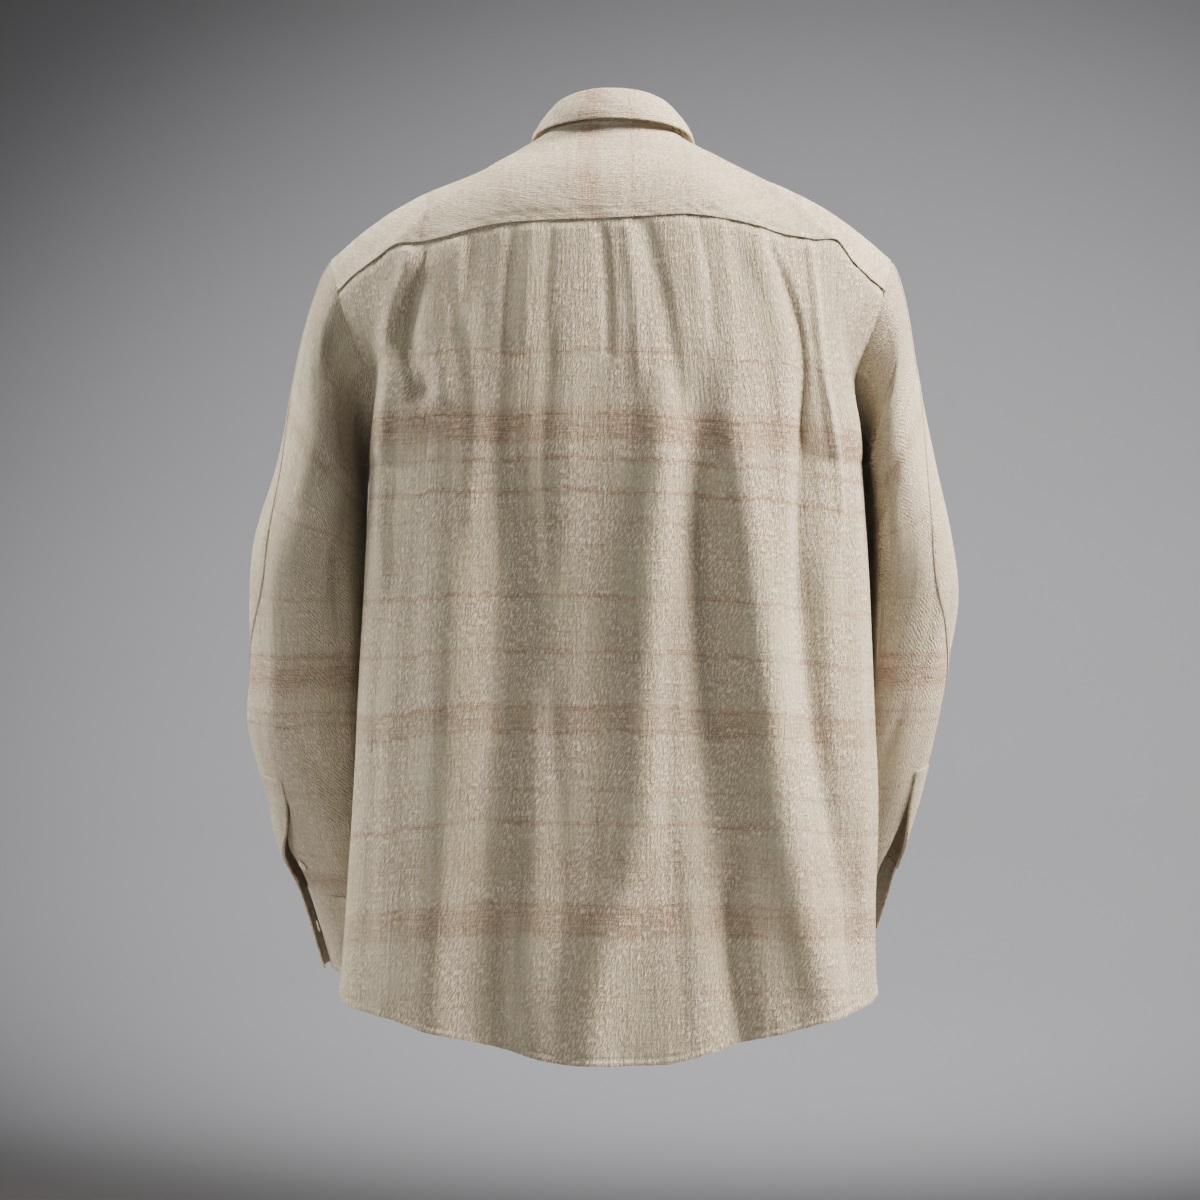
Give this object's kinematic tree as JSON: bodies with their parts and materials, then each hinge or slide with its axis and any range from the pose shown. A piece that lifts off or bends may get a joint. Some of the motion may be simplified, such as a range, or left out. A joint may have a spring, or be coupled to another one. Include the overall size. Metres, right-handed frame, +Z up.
{
  "type": "long-sleeved button-up shirt",
  "caption": "Loose long-sleeved shirt with a folded collar, back yoke with side pleats, buttoned front and open cuffs, hollow in its worn shape.",
  "frame": {"origin": "middle of the neck opening, level with the points where the shoulders meet the collar", "axes": "+Z up, the shirt's front towards -Y and its back towards +Y, the wearer's left on +X"},
  "size_m": [0.5979, 0.3577, 0.7864],
  "materials": {
    "shirting": "matt slub weave",
    "shirting_trim": "matt slub weave, doubled",
    "button": "soft gloss"
  },
  "bodies": {
    "root": {"back": "shirting", "yoke": "shirting", "left_front": "shirting", "right_front": "shirting", "front_band": "shirting_trim", "left_sleeve_back": "shirting", "left_sleeve_front": "shirting", "right_sleeve_back": "shirting", "right_sleeve_front": "shirting", "left_cuff": "shirting_trim", "right_cuff": "shirting_trim", "left_gauntlet": "shirting_trim", "right_gauntlet": "shirting_trim", "collar_stand": "shirting_trim", "collar_leaf": "shirting_trim", "front_button_1": "button", "front_button_2": "button", "front_button_3": "button", "front_button_4": "button", "front_button_5": "button", "front_button_6": "button", "front_button_7": "button", "collar_button": "button", "left_cuff_button": "button", "left_sleeve_button": "button", "right_cuff_button": "button", "right_sleeve_button": "button"}
  },
  "joints": []
}
